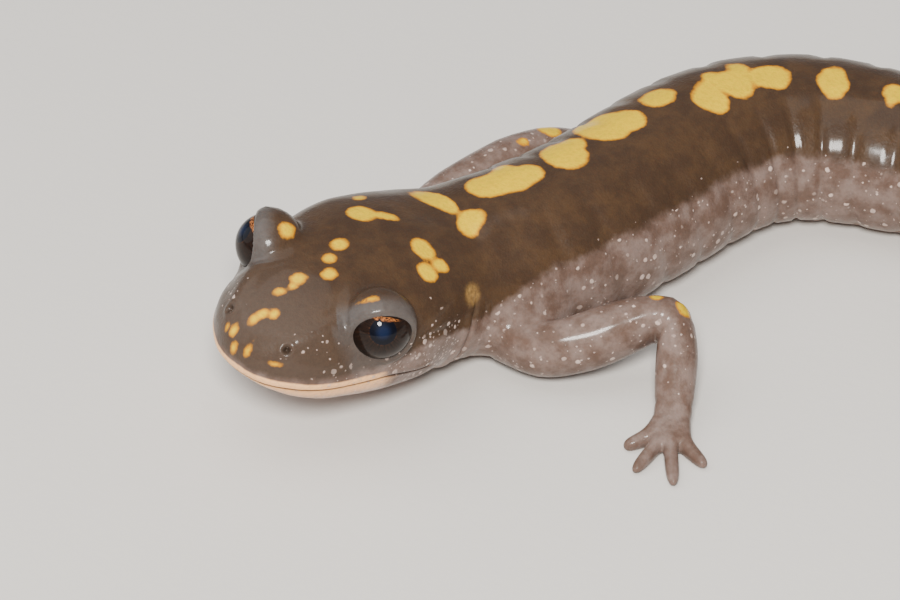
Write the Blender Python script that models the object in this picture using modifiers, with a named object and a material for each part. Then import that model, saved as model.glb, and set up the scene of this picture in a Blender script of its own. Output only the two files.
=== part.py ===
"""A long-toed salamander at life size, resting on its belly with its head a little raised.

The animal faces -Y, its left side is +X and the ground is z = 0. All dimensions are in millimetres
and become metres where a mesh is made. One coarse cage carries the body, the limbs and the toes. It
is smoothed once, laid on the ground, and parted by thin cuts into the pieces of the animal.
"""

from math import cos, hypot, radians, sin, sqrt, tau

import bmesh
import bpy
from mathutils import Matrix, Vector

MM = 0.001
GAP = 0.3  # between pieces that touch

# Along the animal, measured from the snout.
JAW_JOINT = 10.6
GULAR_FOLD = 15.2
NECK_END = 17.8
MID_TRUNK = 41.0
VENT = 68.5
TAIL_THIRDS = (89.0, 110.0)
LENGTH = 130.0

# Distance from the snout, half width, height above the axis, depth below it. The axis runs at the
# level of the lips in the head and through the middle of the body behind it.
BODY_PROFILE = (
    (0.0, 1.9, 1.7, 1.25),
    (1.4, 3.7, 2.7, 1.95),
    (3.2, 4.8, 3.5, 2.6),
    (5.8, 5.6, 4.2, 3.25),
    (9.2, 6.4, 4.5, 3.8),
    (11.6, 6.5, 4.6, 4.0),
    (14.6, 6.3, 4.7, 4.1),
    (17.5, 6.2, 5.1, 4.0),
    (21.5, 6.3, 5.5, 3.8),
    (32.0, 6.2, 5.8, 3.8),
    (44.0, 6.2, 5.7, 3.8),
    (56.0, 5.5, 5.0, 3.7),
    (63.0, 4.9, 4.4, 3.6),
    (69.0, 3.7, 3.8, 3.2),
    (78.0, 3.0, 3.6, 3.0),
    (95.0, 2.3, 3.1, 2.7),
    (112.0, 1.6, 2.3, 2.1),
    (124.0, 0.9, 1.3, 1.3),
    (LENGTH, 0.45, 0.5, 0.5),
)
SNOUT_BULGE = (0.0, -0.9, 0.1)  # left, back and up, of the middle of the snout
TAIL_BULGE = (0.0, 0.5, 0.0)
RING = 16  # cage points round the body
HEAD_RINGS = (0.35, 1.4, 2.7, 4.0, 5.4, 6.8, 8.2, 9.8, 11.6, 13.4, 15.1, 16.8)
SHOULDER_RINGS = (18.4, 19.7, 21.0, 22.3)
HIP_RINGS = (60.4, 62.0, 63.6, 65.2)
TRUNK_STEPS = 8
TAIL_STEPS = 9
KEPT_SHARE = 0.46  # of the smoothed body's faces

# Pose: turns of the back line towards the animal's left, as (from, to, degrees).
TURNS = (
    (11.5, 18.5, 22.0),
    (21.0, 32.0, -20.0),
    (35.0, 53.0, 68.0),
    (72.0, 92.0, -25.0),
    (98.0, 124.0, -55.0),
)
SNOUT = (-27.69, -49.19)
LIP_HEIGHT = 6.6
HEAD_PITCH = 5.0
HEAD_ROLL = 8.0  # lowers the animal's left side
HEAD_RIGID = 12.0  # the skull, in front of which the head does not bend
BELLY_PRESS = 0.12  # how far soft skin is pressed flat by the ground

EYE_RADIUS = 2.1
EYE_BACK = 6.85
EYE_OUT = 4.65
EYE_UP = 2.6
EYE_LOOK = (1.0, -0.5, 0.35)  # outwards, back and up from the left eye
EYE_OPEN_LONG = 72.0  # half angles of the eyelids' opening, seen from the eye's centre
EYE_OPEN_HIGH = 42.0
LID = 0.25  # skin over the eyeball
LID_SOFT = 0.8  # how gradually the lids run into the head
SOCKET_DEPTH = 0.9  # in eye radii: where the skin ends behind the opening
FINE_REACHES = (1.5, 1.35)  # in eye radii: how far from an eye the faces are split again
EYE_SEGMENTS = (18, 10)
MOUTH_LEVEL = -0.75  # below the lips' widest line
MOUTH_DROP = 0.5  # further, towards the jaw joint


def smooth(value, start, end):
    """0 before start, 1 after end, and an even rise between them."""
    t = min(max((value - start) / (end - start), 0.0), 1.0)
    return t * t * (3.0 - 2.0 * t)


def profile(s, column):
    """One column of the body profile at distance s, as a smooth curve through its stations."""
    rows = BODY_PROFILE
    i = max(k for k in range(len(rows) - 1) if rows[k][0] <= s or k == 0)
    s0, s1 = rows[i][0], rows[i + 1][0]
    before, after = rows[max(i - 1, 0)], rows[min(i + 2, len(rows) - 1)]
    a, b = rows[i][column], rows[i + 1][column]
    slope0 = (b - before[column]) / (s1 - before[0])
    slope1 = (after[column] - a) / (after[0] - s0)
    t = (s - s0) / (s1 - s0)
    run = s1 - s0
    return (
        (2 * t**3 - 3 * t**2 + 1) * a
        + (t**3 - 2 * t**2 + t) * run * slope0
        + (3 * t**2 - 2 * t**3) * b
        + (t**3 - t**2) * run * slope1
    )


def heading(s):
    """Plan direction of the back line towards the tail, in degrees from +Y towards the animal's left."""
    return sum(angle * smooth(s, start, end) for start, end, angle in TURNS)


def axis_height(s):
    raised = LIP_HEIGHT - s * sin(radians(HEAD_PITCH))
    rest = profile(s, 3) - BELLY_PRESS
    blend = smooth(s, HEAD_RIGID, SHOULDER_RINGS[0])
    return raised * (1.0 - blend) + rest * blend


def axis_point(s):
    steps = max(int(s / 0.25), 1)
    step = s / steps
    x, y = SNOUT
    for k in range(steps):
        angle = radians(heading((k + 0.5) * step))
        x += sin(angle) * step
        y += cos(angle) * step
    return Vector((x, y, axis_height(s)))


def body_frame(s):
    """Matrix from (left, back, up) millimetres at distance s to the world."""
    back = (axis_point(s + 0.05) - axis_point(max(s - 0.05, 0.0))).normalized()
    left = back.cross(Vector((0, 0, 1))).normalized()
    up = left.cross(back)
    roll = radians(HEAD_ROLL) * (1.0 - smooth(s, HEAD_RIGID, SHOULDER_RINGS[0]))
    left, up = left * cos(roll) - up * sin(roll), up * cos(roll) + left * sin(roll)
    frame = Matrix((left, back, up)).transposed().to_4x4()
    frame.translation = axis_point(s)
    return frame


def smoothed_size(count):
    """How much larger a ring of a cage is than the smooth surface it gives."""
    return 6.0 / (4.0 + 2.0 * cos(tau / count))


def body_ring(s):
    """Cage points round the body at distance s, from the left side over the back."""
    half, top, bottom = (profile(s, column) * smoothed_size(RING) for column in (1, 2, 3))
    head = 1.0 - smooth(s, GULAR_FOLD, NECK_END)
    frame = body_frame(s)
    points = []
    for k in range(RING):
        c, h = cos(tau * k / RING), sin(tau * k / RING)
        square = 2.0 + 0.35 * head if h > 0 else 2.4 + 0.5 * head
        x = abs(c) ** (2.0 / square) * (half if c > 0 else -half)
        z = abs(h) ** (2.0 / square) * (top if h > 0 else -bottom)
        points.append(frame @ Vector((x, 0, z)))
    return points


def stations():
    """Distances of the cage rings from snout to tail."""
    first, last = SHOULDER_RINGS[-1], HIP_RINGS[0]
    trunk = [first + (last - first) * k / TRUNK_STEPS for k in range(1, TRUNK_STEPS)]
    first = HIP_RINGS[-1]
    tail = [first + (LENGTH - first) * k / TAIL_STEPS for k in range(1, TAIL_STEPS + 1)]
    return [*HEAD_RINGS, *SHOULDER_RINGS, *trunk, *HIP_RINGS, *tail]


def bridge(bm, ring, other):
    """Faces between two rings of matching points. Returns them."""
    faces = []
    for k in range(len(ring)):
        n = (k + 1) % len(ring)
        faces.append(bm.faces.new((ring[k], ring[n], other[n], other[k])))
    return faces


def cap_grid(bm, ring, bulge):
    """Closes a ring of 16 with a grid of 4 by 4 faces that stands out by bulge in the middle."""
    n = len(ring) // 4
    start = n // 2
    side = [ring[(start + k) % len(ring)] for k in range(len(ring))]
    grid = {}
    for k in range(n + 1):
        grid[k, 0] = side[k]
        grid[n, k] = side[n + k]
        grid[n - k, n] = side[2 * n + k]
        grid[0, n - k] = side[(3 * n + k) % len(ring)]
    for i in range(1, n):
        for j in range(1, n):
            u, v = i / n, j / n
            edges = (
                grid[i, 0].co * (1 - v) + grid[i, n].co * v + grid[0, j].co * (1 - u) + grid[n, j].co * u
            )
            corners = (grid[0, 0].co * (1 - u) + grid[n, 0].co * u) * (1 - v)
            corners = corners + (grid[0, n].co * (1 - u) + grid[n, n].co * u) * v
            rise = 16 * u * (1 - u) * v * (1 - v)
            grid[i, j] = bm.verts.new(edges - corners + bulge * rise)
    for i in range(n):
        for j in range(n):
            bm.faces.new((grid[i, j], grid[i + 1, j], grid[i + 1, j + 1], grid[i, j + 1]))


# Limbs. Bearings are in degrees from the body's own forward direction towards the limb's side.
FORE_LENGTHS = (10.0, 7.0, 2.6)  # upper arm, forearm, palm
HIND_LENGTHS = (9.0, 7.6, 3.2)  # thigh, shank, sole
FORE_RADII = (2.1, 1.95, 1.75, 1.5, 1.05)  # root, above the elbow, elbow, forearm, wrist
HIND_RADII = (2.6, 2.3, 1.95, 1.65, 1.2)
FORE_TOES = (1.7, 3.1, 3.7, 2.4)  # from the inner toe outwards
HIND_TOES = (1.6, 3.2, 4.6, 5.4, 3.0)
TOE_RADII = (0.5, 0.36)
TOE_RING_SHARES = (0.45, 0.97)  # of the toe's length
SMOOTHED_SQUARE = 0.69  # size left of a four-sided ring once it is smoothed
PALM_HALF_THICK = 0.62
PALM_ARC = 0.55  # how far the outer toes start behind the middle one
PALM_THICKER = 1.15  # the cage's allowance for smoothing
PALM_WIDER = 1.05
WRIST_RISE = 0.35  # above the palm
FORE_PALM_HALF = 1.45
HIND_PALM_HALF = 1.9
FORE_SPREAD = 34.0  # between one toe and the next
HIND_SPREAD = 27.0
ROOT_REACH = 2.4  # how far a limb stands out before it turns
CUT_REACH = 1.5  # size of a parting cut, in radii of the limb there
WRIST_CUT_REACH = 3.0
BODY_CUT_REACH = 1.14

LIMBS = {
    # name: (rings at the root, side, upper bearing, elbow height, lower bearing, foot bearing)
    "front_left": (SHOULDER_RINGS, 1, 152.0, 4.7, 60.0, 48.0),
    "front_right": (SHOULDER_RINGS, -1, 154.0, 3.4, 172.0, 158.0),
    "hind_left": (HIP_RINGS, 1, 62.0, 4.8, 130.0, 100.0),
    "hind_right": (HIP_RINGS, -1, 98.0, 4.6, 158.0, 125.0),
}
LIMB_PIECES = {
    "front": ("upper_arm", "forearm", "hand"),
    "hind": ("thigh", "shank", "foot"),
}


def bearing(angle, name):
    """Level unit vector at this bearing from the body's direction where the limb grows."""
    root_rings, side, *_ = LIMBS[name]
    turn = radians(heading((root_rings[0] + root_rings[-1]) / 2))
    ahead = Vector((-sin(turn), -cos(turn), 0))
    left = Vector((cos(turn), -sin(turn), 0))
    return ahead * cos(radians(angle)) + left * (side * sin(radians(angle)))


def root_patch(rings, names, side, around):
    """Cage points round a limb's root: three faces along the body and some up its side."""
    first = RING - 2
    up = [(first + k) % RING for k in range(around + 1)]
    if side < 0:
        up = [(RING // 2 - k) % RING for k in up]
    index = [names.index(s) for s in (SHOULDER_RINGS if around == 2 else HIP_RINGS)]
    grid = {(i, j): rings[index[i]][up[j]] for i in range(4) for j in range(around + 1)}
    inner = [grid[i, j] for i in (1, 2) for j in range(1, around)]
    middle = (around + 1) // 2
    loop = [grid[3, j] for j in range(middle, around)]
    loop += [grid[i, around] for i in (3, 2, 1)]
    loop += [grid[0, j] for j in range(around, 0, -1)]
    loop += [grid[i, 0] for i in (0, 1, 2)]
    loop += [grid[3, j] for j in range(0, middle)]
    return loop, inner


def limb_ring(centre, along, radius, count, side, turn=0.0, flat=1.0):
    """Points round a limb, viewed against its direction, starting at its rear side."""
    up = (Vector((0, 0, 1)) - along * along.z).normalized()
    rear = up.cross(along) * side
    size = smoothed_size(count) * radius
    points = []
    for k in range(count):
        angle = tau * (k + turn) / count
        points.append(centre + (rear * cos(angle) + up * sin(angle) * flat) * size)
    return points


def limb_joints(name, root):
    """Root, elbow, wrist and knuckles of a limb, with the level direction of its foot."""
    kind = name.split("_")[0]
    _, side, upper, elbow_z, lower, foot = LIMBS[name]
    long_upper, long_lower, palm = FORE_LENGTHS if kind == "front" else HIND_LENGTHS
    rise = elbow_z - root.z
    elbow = root + bearing(upper, name) * sqrt(long_upper**2 - rise**2) + Vector((0, 0, rise))
    wrist_z = PALM_HALF_THICK + WRIST_RISE
    drop = elbow_z - wrist_z
    wrist = elbow + bearing(lower, name) * sqrt(long_lower**2 - drop**2) - Vector((0, 0, drop))
    aim = bearing(foot, name)
    knuckles = wrist + aim * palm
    knuckles.z = PALM_HALF_THICK - BELLY_PRESS / 2
    return elbow, wrist, knuckles, aim


def grow_limb(bm, name, loop, outward):
    """Cage of one limb from its root patch to the toes. Returns where it is cut."""
    kind = name.split("_")[0]
    side = LIMBS[name][1]
    radii = FORE_RADII if kind == "front" else HIND_RADII
    count = len(loop)
    last_turn = 0.5
    first_turn = 0.0 if kind == "front" else 0.5
    root = sum((v.co for v in loop), Vector()) / count
    elbow, wrist, knuckles, aim = limb_joints(name, root)
    upper, lower = (elbow - root).normalized(), (wrist - elbow).normalized()
    shoulder = root + outward * ROOT_REACH + upper * 0.5
    halfway = shoulder.lerp(elbow, 0.55)
    low_half = elbow.lerp(wrist, 0.5)
    plan = (
        (shoulder, (upper + outward).normalized(), radii[0]),
        (halfway, (elbow - shoulder).normalized(), radii[1]),
        (elbow, ((elbow - shoulder).normalized() + lower).normalized(), radii[2]),
        (low_half, lower, radii[3]),
        (wrist, (lower + aim).normalized(), radii[4]),
    )
    ring = loop
    for k, (centre, along, radius) in enumerate(plan):
        turn = first_turn + (last_turn - first_turn) * (k + 1) / len(plan)
        flat = 1.0 if k < len(plan) - 1 else 0.75
        points = [bm.verts.new(p) for p in limb_ring(centre, along, radius, count, side, turn, flat)]
        bridge(bm, ring, points)
        ring = points
    grow_foot(bm, ring, knuckles, aim, side, kind)
    cuts = [
        (plan[0][0], plan[0][1], radii[0] * CUT_REACH),
        (elbow, plan[2][1], radii[2] * CUT_REACH),
        (wrist, plan[4][1], radii[4] * WRIST_CUT_REACH),
    ]
    return cuts, [shoulder.lerp(elbow, 0.5), low_half, knuckles]


def grow_foot(bm, ring, knuckles, aim, side, kind):
    """Palm and toes: the palm's edge has one face for each toe."""
    toes = FORE_TOES if kind == "front" else HIND_TOES
    half = FORE_PALM_HALF if kind == "front" else HIND_PALM_HALF
    spread = FORE_SPREAD if kind == "front" else HIND_SPREAD
    count = len(toes)
    across = Vector((0, 0, 1)).cross(aim) * side  # towards the outer toe
    rows = []
    for height in (1, -1):
        row = []
        for k in range(count + 1):
            u = 1.0 - 2.0 * k / count
            reach = aim * (-PALM_ARC * u * u * half)
            lift = Vector((0, 0, height * PALM_HALF_THICK * PALM_THICKER))
            row.append(bm.verts.new(knuckles + across * (u * half * PALM_WIDER) + reach + lift))
        rows.append(row)
    top, bottom = rows
    bridge(bm, ring, top + bottom[::-1])
    for k, length in enumerate(reversed(toes)):
        angle = radians(spread * ((count - 1) / 2 - k)) * side
        direction = Matrix.Rotation(angle, 3, "Z") @ aim
        grow_toe(bm, (top[k], top[k + 1], bottom[k + 1], bottom[k]), direction, length)


def grow_toe(bm, root, direction, length):
    """A toe of four-sided rings from its root face, with a closed tip."""
    across = (root[0].co - root[1].co).normalized()
    across = (across - direction * across.dot(direction)).normalized()
    middle = sum((v.co for v in root), Vector()) / 4
    ring = list(root)
    for share, radius in zip(TOE_RING_SHARES, TOE_RADII):
        centre = middle + direction * (length * share)
        centre.z = radius - BELLY_PRESS / 2
        reach = radius / SMOOTHED_SQUARE / sqrt(2.0)
        corners = [(1, 1), (-1, 1), (-1, -1), (1, -1)]
        points = [
            bm.verts.new(centre + across * (a * reach) + Vector((0, 0, b * reach))) for a, b in corners
        ]
        bridge(bm, ring, points)
        ring = points
    bm.faces.new(ring)


def whole_cage():
    """The coarse cage of the whole animal, and the places where its limbs are cut and named."""
    bm = bmesh.new()
    names = stations()
    rings = [[bm.verts.new(p) for p in body_ring(s)] for s in names]
    for ring, other in zip(rings, rings[1:]):
        bridge(bm, ring, other)
    cap_grid(bm, rings[0], body_frame(0.0).to_3x3() @ Vector(SNOUT_BULGE))
    cap_grid(bm, rings[-1], body_frame(LENGTH).to_3x3() @ Vector(TAIL_BULGE))
    cuts, labels = [], {}
    for name, (root_rings, side, *_) in LIMBS.items():
        around = 2 if root_rings is SHOULDER_RINGS else 3
        loop, inner = root_patch(rings, names, side, around)
        bmesh.ops.delete(bm, geom=[f for f in bm.faces if is_patch(f, loop, inner)], context="FACES")
        frame = body_frame((root_rings[0] + root_rings[-1]) / 2).to_3x3()
        limb_cuts, middles = grow_limb(bm, name, loop, frame @ Vector((side, 0, 0)))
        cuts += limb_cuts
        for piece, middle in zip(LIMB_PIECES[name.split("_")[0]], middles):
            labels[f"{piece}_{name}"] = middle
    bmesh.ops.recalc_face_normals(bm, faces=bm.faces)
    return bm, cuts, labels


def is_patch(face, loop, inner):
    patch = set(loop) | set(inner)
    return all(v in patch for v in face.verts) and any(v in inner for v in face.verts)


def mesh_object(name, bm, collection):
    """An object from a bmesh in millimetres."""
    mesh = bpy.data.meshes.new(name)
    bmesh.ops.scale(bm, vec=(MM, MM, MM), verts=bm.verts)
    bm.to_mesh(mesh)
    bm.free()
    obj = bpy.data.objects.new(name, mesh)
    collection.objects.link(obj)
    return obj


def evaluated_mesh(obj):
    graph = bpy.context.evaluated_depsgraph_get()
    graph.update()
    return bpy.data.meshes.new_from_object(obj.evaluated_get(graph))


def eye_centre(side):
    return body_frame(0.0) @ Vector((side * EYE_OUT, EYE_BACK, EYE_UP))


def eye_axis(side):
    """Where an eye looks: outwards, a little forwards and up."""
    out, back, up = EYE_LOOK
    return (body_frame(0.0).to_3x3() @ Vector((side * out, back, up))).normalized()


def open_share(direction, side):
    """1 inside the opening of the eyelids, 0 outside it, for a direction from the eye's centre."""
    axis = eye_axis(side)
    up = body_frame(0.0).to_3x3() @ Vector((0, 0, 1))
    along = axis.cross(up).normalized()
    up = along.cross(axis)
    if direction.dot(axis) < 0.0:
        return 0.0
    wide = direction.dot(along) / sin(radians(EYE_OPEN_LONG))
    high = direction.dot(up) / sin(radians(EYE_OPEN_HIGH))
    return 1.0 - smooth(hypot(wide, high), 0.9, 1.1)


def refine_round_eyes(mesh):
    """Splits the faces near the eyes, so that the lids have points enough to follow the eyeballs."""
    bm = bmesh.new()
    bm.from_mesh(mesh)
    centres = [eye_centre(side) * MM for side in (1, -1)]
    for reach in FINE_REACHES:
        near = reach * EYE_RADIUS * MM
        edges = {
            e
            for f in bm.faces
            if min((f.calc_center_median() - c).length for c in centres) < near
            for e in f.edges
        }
        edges = sorted(edges, key=lambda e: e.index)
        bmesh.ops.subdivide_edges(bm, edges=edges, cuts=1, use_grid_fill=True, smooth=0.6)
    bmesh.ops.triangulate(bm, faces=[f for f in bm.faces if len(f.verts) > 4])
    bm.to_mesh(mesh)
    bm.free()


def raise_eyelids(mesh):
    """Swells the skin over both eyeballs, and draws it in where the eye opens."""
    lid = EYE_RADIUS + GAP + LID
    for side in (1, -1):
        centre = eye_centre(side)
        for vertex in mesh.vertices:
            away = vertex.co / MM - centre
            distance = away.length
            if distance > lid + LID_SOFT:
                continue
            overlap = max(LID_SOFT - abs(distance - lid), 0.0) / LID_SOFT
            raised = max(distance, lid) + overlap**2 * LID_SOFT / 4.0
            direction = away.normalized()
            opening = open_share(direction, side)
            inside = min(distance, SOCKET_DEPTH * EYE_RADIUS)
            reach = raised * (1.0 - opening) + inside * opening
            vertex.co = (centre + direction * reach) * MM


def thin_out(obj):
    """Drops points where the surface is nearly flat."""
    thinning = obj.modifiers.new("thinning", "DECIMATE")
    thinning.ratio = KEPT_SHARE
    obj.data = evaluated_mesh(obj)
    obj.modifiers.clear()


def lay_on_ground(mesh):
    for vertex in mesh.vertices:
        vertex.co.z = max(vertex.co.z, 0.0)


def disc_cutter(centre, along, radius, collection):
    bm = bmesh.new()
    bmesh.ops.create_cone(bm, cap_ends=True, segments=24, radius1=radius, radius2=radius, depth=GAP)
    turn = along.normalized().to_track_quat("Z", "Y").to_matrix().to_4x4()
    bmesh.ops.transform(bm, matrix=Matrix.Translation(centre) @ turn, verts=bm.verts)
    return mesh_object("cut", bm, collection)


def ball_cutter(centre, radius, collection):
    bm = bmesh.new()
    bmesh.ops.create_uvsphere(bm, u_segments=EYE_SEGMENTS[0], v_segments=EYE_SEGMENTS[1], radius=radius)
    bmesh.ops.translate(bm, vec=centre, verts=bm.verts)
    return mesh_object("socket_cut", bm, collection)


def mouth_cutter(collection):
    """A thin sheet along the mouth that turns down behind the jaw joint."""
    side_line = (
        (-4.0, MOUTH_LEVEL),
        (6.5, MOUTH_LEVEL),
        (JAW_JOINT - 2.6, MOUTH_LEVEL - 0.3 * MOUTH_DROP),
        (JAW_JOINT - 1.5, MOUTH_LEVEL - 0.7 * MOUTH_DROP),
        (JAW_JOINT, MOUTH_LEVEL - MOUTH_DROP),
        (JAW_JOINT + 0.9, -2.3),
        (JAW_JOINT + 1.3, -3.5),
        (JAW_JOINT + 1.5, -9.0),
    )
    bm = bmesh.new()
    frame = body_frame(0.0)
    rows = [[bm.verts.new(frame @ Vector((x, y, z))) for x in (-10.0, 10.0)] for y, z in side_line]
    for a, b in zip(rows, rows[1:]):
        bm.faces.new((a[0], a[1], b[1], b[0]))
    obj = mesh_object("mouth_cut", bm, collection)
    sheet = obj.modifiers.new("thickness", "SOLIDIFY")
    sheet.thickness = GAP * MM
    sheet.offset = 0.0
    sheet.use_even_offset = True
    return obj


def hide_cutters(collection):
    for cutter in collection.objects:
        cutter.hide_render = True
        cutter.display_type = "WIRE"


def cut_away(target, cutters):
    """Takes every cutter of a collection out of the target in one step."""
    cut = target.modifiers.new("parting", "BOOLEAN")
    cut.operation = "DIFFERENCE"
    cut.solver = "EXACT"
    cut.operand_type = "COLLECTION"
    cut.collection = cutters
    target.data = evaluated_mesh(target)
    target.modifiers.clear()


def loose_pieces(obj):
    """Separates an object into its loose bodies. Returns them as objects."""
    bpy.context.view_layer.objects.active = obj
    obj.select_set(True)
    bpy.ops.mesh.separate(type="LOOSE")
    return [piece for piece in bpy.context.selected_objects if piece.data.polygons]


def volume_middle(mesh):
    """Centre of volume of a closed mesh, in millimetres."""
    bm = bmesh.new()
    bm.from_mesh(mesh)
    total, middle = 0.0, Vector()
    for loops in bm.calc_loop_triangles():
        a, b, c = (loop.vert.co for loop in loops)
        volume = a.dot(b.cross(c)) / 6.0
        total += volume
        middle += (a + b + c) * (volume / 4.0)
    bm.free()
    return middle / (total * MM)


SKIN = (0.072, 0.048, 0.038, 1.0)
THROAT = (0.52, 0.33, 0.25, 1.0)
EYE = (0.02, 0.012, 0.01, 1.0)


def material(name, colour, roughness):
    made = bpy.data.materials.new(name)
    made.use_nodes = True
    shader = made.node_tree.nodes["Principled BSDF"]
    shader.inputs["Base Color"].default_value = colour
    shader.inputs["Roughness"].default_value = roughness
    shader.inputs["Metallic"].default_value = 0.0
    made.diffuse_color = colour
    return made


def finish(obj, name, colour, roughness):
    obj.name = obj.data.name = name
    obj.data.materials.clear()
    obj.data.materials.append(material(f"{name}_skin", colour, roughness))
    obj.data.shade_smooth()
    obj.data.set_sharp_from_angle(angle=radians(50))


def clear_scene():
    for obj in list(bpy.data.objects):
        bpy.data.objects.remove(obj, do_unlink=True)


def collection_named(name):
    made = bpy.data.collections.new(name)
    bpy.context.scene.collection.children.link(made)
    return made


def spine_labels():
    head = body_frame(0.0)
    return {
        "head": head @ Vector((0, 8.0, 2.0)),
        "lower_jaw": head @ Vector((0, 6.5, -2.2)),
        "neck": axis_point((GULAR_FOLD + NECK_END) / 2),
        "trunk_front": axis_point((NECK_END + MID_TRUNK) / 2),
        "trunk_rear": axis_point((MID_TRUNK + VENT) / 2),
        "tail_base": axis_point((VENT + TAIL_THIRDS[0]) / 2),
        "tail_middle": axis_point(sum(TAIL_THIRDS) / 2),
        "tail_tip": axis_point((TAIL_THIRDS[1] + LENGTH) / 2 - 2.0),
    }


def build():
    clear_scene()
    animal = collection_named("long_toed_salamander")
    cutters = collection_named("cutters")
    cage, cuts, labels = whole_cage()
    labels.update(spine_labels())
    body = mesh_object("body", cage, animal)
    rounding = body.modifiers.new("rounding", "SUBSURF")
    rounding.levels = rounding.render_levels = 1
    body.data = evaluated_mesh(body)
    body.modifiers.clear()
    refine_round_eyes(body.data)
    raise_eyelids(body.data)
    thin_out(body)
    lay_on_ground(body.data)

    for centre, along, radius in cuts:
        disc_cutter(centre, along, radius, cutters)
    for s in (GULAR_FOLD, NECK_END, MID_TRUNK, VENT, *TAIL_THIRDS):
        along = axis_point(s + 0.2) - axis_point(s - 0.2)
        disc_cutter(axis_point(s), along, BODY_CUT_REACH * max(profile(s, 1), profile(s, 2)), cutters)
    for side in (1, -1):
        ball_cutter(eye_centre(side), EYE_RADIUS + GAP, cutters)
    mouth_cutter(cutters)
    cut_away(body, cutters)
    hide_cutters(cutters)

    pieces = [(piece, volume_middle(piece.data)) for piece in loose_pieces(body)]
    for name, place in labels.items():
        found = min(pieces, key=lambda item: (item[1] - place).length)
        pieces.remove(found)
        finish(found[0], name, THROAT if name == "lower_jaw" else SKIN, 0.25)
    for side, name in ((1, "eye_left"), (-1, "eye_right")):
        bm = bmesh.new()
        around, down = EYE_SEGMENTS
        bmesh.ops.create_uvsphere(bm, u_segments=around, v_segments=down, radius=EYE_RADIUS)
        turn = eye_axis(side).to_track_quat("Z", "Y").to_matrix().to_4x4()
        bmesh.ops.transform(bm, matrix=Matrix.Translation(eye_centre(side)) @ turn, verts=bm.verts)
        finish(mesh_object(name, bm, animal), name, EYE, 0.05)


build()
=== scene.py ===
"""A long-toed salamander at life size, resting on its belly on a pale studio floor."""

import random
from math import cos, radians, sin, sqrt, tau

import bmesh
import bpy
import numpy as np
from mathutils import Matrix, Vector, noise


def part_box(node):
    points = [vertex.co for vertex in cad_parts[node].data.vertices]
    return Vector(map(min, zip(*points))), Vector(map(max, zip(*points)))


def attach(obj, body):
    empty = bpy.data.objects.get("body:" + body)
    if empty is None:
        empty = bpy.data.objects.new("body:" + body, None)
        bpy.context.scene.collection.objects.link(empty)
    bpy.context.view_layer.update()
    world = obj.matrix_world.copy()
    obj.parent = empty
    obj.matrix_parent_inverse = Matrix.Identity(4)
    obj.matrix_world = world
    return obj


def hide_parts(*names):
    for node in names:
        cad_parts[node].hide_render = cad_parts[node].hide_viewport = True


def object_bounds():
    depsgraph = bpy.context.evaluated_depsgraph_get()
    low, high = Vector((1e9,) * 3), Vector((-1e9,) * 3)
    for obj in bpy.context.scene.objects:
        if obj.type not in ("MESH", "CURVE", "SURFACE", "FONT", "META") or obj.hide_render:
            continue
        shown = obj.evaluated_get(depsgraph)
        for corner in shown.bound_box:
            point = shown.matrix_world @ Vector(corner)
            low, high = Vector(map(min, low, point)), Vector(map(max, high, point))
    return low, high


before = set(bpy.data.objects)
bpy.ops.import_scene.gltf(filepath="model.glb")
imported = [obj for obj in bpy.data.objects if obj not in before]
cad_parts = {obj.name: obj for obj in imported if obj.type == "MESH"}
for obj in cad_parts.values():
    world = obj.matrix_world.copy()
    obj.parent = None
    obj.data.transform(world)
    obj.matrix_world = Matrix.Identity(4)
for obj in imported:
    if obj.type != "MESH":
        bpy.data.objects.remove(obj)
cad_low, cad_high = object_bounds()

# --------------------------------------
# Skin. The whole animal is covered by one moist, scaleless skin without a seam: head, eyelids,
# lips, trunk with its rib grooves, tail, four legs and eighteen toes. It is one tube with the
# limbs drawn out of its sides, smoothed, and folded where the living skin folds.
# Sizes are in millimetres, and s is the distance from the snout along the back.

MM = 0.001
GULAR_FOLD = 15.2
NECK_END = 17.8
VENT = 68.5
LENGTH = 130.0
JAW_JOINT = 10.6

# s, half width, height above the axis, depth below it
BODY_PROFILE = (
    (0.0, 1.9, 1.7, 1.25),
    (1.4, 3.7, 2.7, 1.95),
    (3.2, 4.8, 3.5, 2.6),
    (5.8, 5.6, 4.2, 3.25),
    (9.2, 6.4, 4.5, 3.8),
    (11.6, 6.5, 4.6, 4.0),
    (14.6, 6.3, 4.7, 4.1),
    (17.5, 6.2, 5.1, 4.0),
    (21.5, 6.3, 5.5, 3.8),
    (32.0, 6.2, 5.8, 3.8),
    (44.0, 6.2, 5.7, 3.8),
    (56.0, 5.5, 5.0, 3.7),
    (63.0, 4.9, 4.4, 3.6),
    (69.0, 3.7, 3.8, 3.2),
    (78.0, 3.0, 3.6, 3.0),
    (95.0, 2.3, 3.1, 2.7),
    (112.0, 1.6, 2.3, 2.1),
    (124.0, 0.9, 1.3, 1.3),
    (LENGTH, 0.45, 0.5, 0.5),
)
RING = 16
HEAD_RINGS = (0.35, 1.4, 2.7, 4.0, 5.4, 6.8, 8.2, 9.8, 11.6, 13.4, 15.1, 16.8)
SHOULDER_RINGS = (18.4, 19.7, 21.0, 22.3)
HIP_RINGS = (60.4, 62.0, 63.6, 65.2)
TRUNK_STEPS = 12
TAIL_STEPS = 12

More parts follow.
